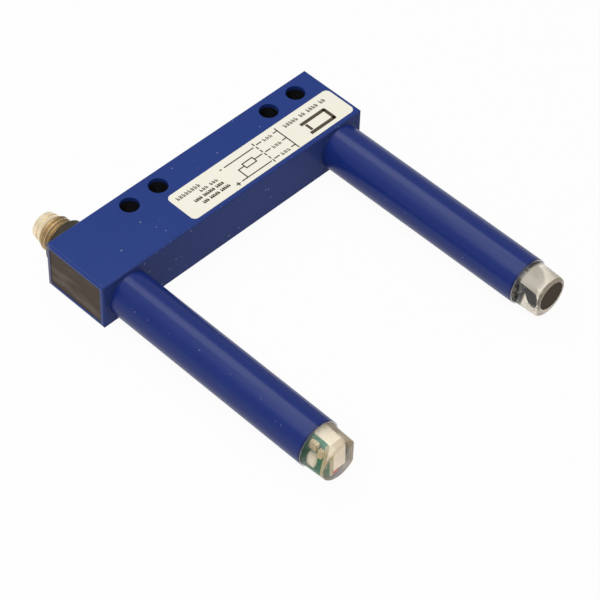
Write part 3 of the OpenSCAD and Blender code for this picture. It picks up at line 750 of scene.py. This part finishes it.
ticks(21.4, 33.6, -0.85, 0.95, [5, 2, 4, 2])
fork_left, fork_right, fork_low, fork_high = 24.4, 31.2, -6.2, -3.0
beam_x, beam_high, beam_dash, beam_pitch = 25.2, -3.75, 0.33, 0.68
for y in (fork_high, fork_low):
    stroke(fork_left, y, fork_right, y, heavy)
stroke(fork_right, fork_high, fork_right, fork_low, heavy)
for i in range(3):
    y = beam_high - beam_pitch * i
    stroke(beam_x, y, beam_x, y - beam_dash, heavy * 0.8)
bpy.ops.mesh.select_all(action="SELECT")
bpy.ops.mesh.extrude_region_move(TRANSFORM_OT_translate={"value": (0, 0, ink_t)})
bpy.ops.mesh.select_all(action="SELECT")
bpy.ops.mesh.normals_make_consistent(inside=False)
bpy.ops.object.mode_set(mode="OBJECT")
brown_ink, print_sockets, place = new_finish("brown_ink", IOR=1.48, Specular_IOR_Level=0.3)
mottle = place.noise(3000, 2)
mottle.mix((0.052, 0.040, 0.021, 1), (0.098, 0.078, 0.046, 1)).feed(print_sockets["Base Color"])
(0.4 + mottle * 0.2).feed(print_sockets["Roughness"])
settle(ink, "label_print", brown_ink, "label_paper")


# Studio
# A white table under two soft lights, one above and behind and a broad one above and to the left,
# in a dim pale room, and a camera fitted to the photograph's view.

table_gap = 0.00002
clear_selection()
bpy.ops.mesh.primitive_plane_add(size=6, location=(0, 0, bar_low.z - table_gap))
table = bpy.context.object
table.name = "table"
white_table, table_sockets, place = new_finish("white_table", Roughness=0.9, Specular_IOR_Level=0.0)
place.noise(3, 2).mix((0.80, 0.80, 0.80, 1), (0.82, 0.82, 0.82, 1)).feed(table_sockets["Base Color"])
tree = white_table.node_tree
path = tree.nodes.new("ShaderNodeLightPath").outputs
seen = Tone(tree, path["Is Camera Ray"]).most(Tone(tree, path["Is Glossy Ray"])).most(
    Tone(tree, path["Is Transmission Ray"])) * 0.95
glow = seen.node("ShaderNodeEmission", {}, {"Color": (1, 1, 1, 1), "Strength": 1.0})
white = Tone(tree, tree.nodes["Principled BSDF"].outputs[0])
seen.node("ShaderNodeMixShader", {}, {0: seen, 1: white, 2: glow}).feed(
    tree.nodes["Material Output"].inputs["Surface"])
table.data.materials.append(white_table)

world = bpy.data.worlds.new("pale_room")
bpy.context.scene.world = world
world.use_nodes = True
tree = world.node_tree
path = tree.nodes.new("ShaderNodeLightPath").outputs
room = tree.nodes["Background"]
room.inputs["Color"].default_value = (1, 1, 1, 1)
seen = Tone(tree, path["Is Camera Ray"]).most(Tone(tree, path["Is Transmission Ray"]))
(0.3 + 0.7 * seen + 0.25 * Tone(tree, path["Is Glossy Ray"])).feed(room.inputs["Strength"])


def soft_light(name, spot, aim, width, depth, watts):
    """A rectangular soft light, turned towards the spot that it is aimed at."""
    clear_selection()
    bpy.ops.object.light_add(type="AREA", location=spot)
    lamp = bpy.context.object
    lamp.name = name
    lamp.rotation_euler = (Vector(aim) - Vector(spot)).to_track_quat("-Z", "Y").to_euler()
    lamp.data.shape = "RECTANGLE"
    lamp.data.size, lamp.data.size_y = width, depth
    lamp.data.energy = watts


fork_middle = (0, -0.03, 0)
soft_light("softbox_behind", (0.15, 0.39, 0.79), fork_middle, 0.45, 0.24, 1.1)
soft_light("softbox_left", (-0.32, -0.06, 0.84), fork_middle, 0.90, 0.70, 5.6)

clear_selection()
bpy.ops.object.camera_add(location=(-0.24894, -0.26426, 0.38351))
camera = bpy.context.object
camera.data.lens = 149.915
camera.data.sensor_width = 36
camera.data.clip_start, camera.data.clip_end = 0.01, 20
look = Vector((0.48038481, 0.45656693, -0.7488505)).normalized()
up = Vector((0.51817708, 0.54112432, 0.66232695)).normalized()
right = look.cross(up)
camera.rotation_euler = Matrix((right, up, -look)).transposed().to_euler()
bpy.context.scene.camera = camera
# Light turns many times inside the clear heads before it comes out.
paths = bpy.context.scene.cycles
paths.max_bounces, paths.glossy_bounces, paths.transmission_bounces = 32, 16, 24
bpy.context.scene.view_settings.view_transform = "Standard"
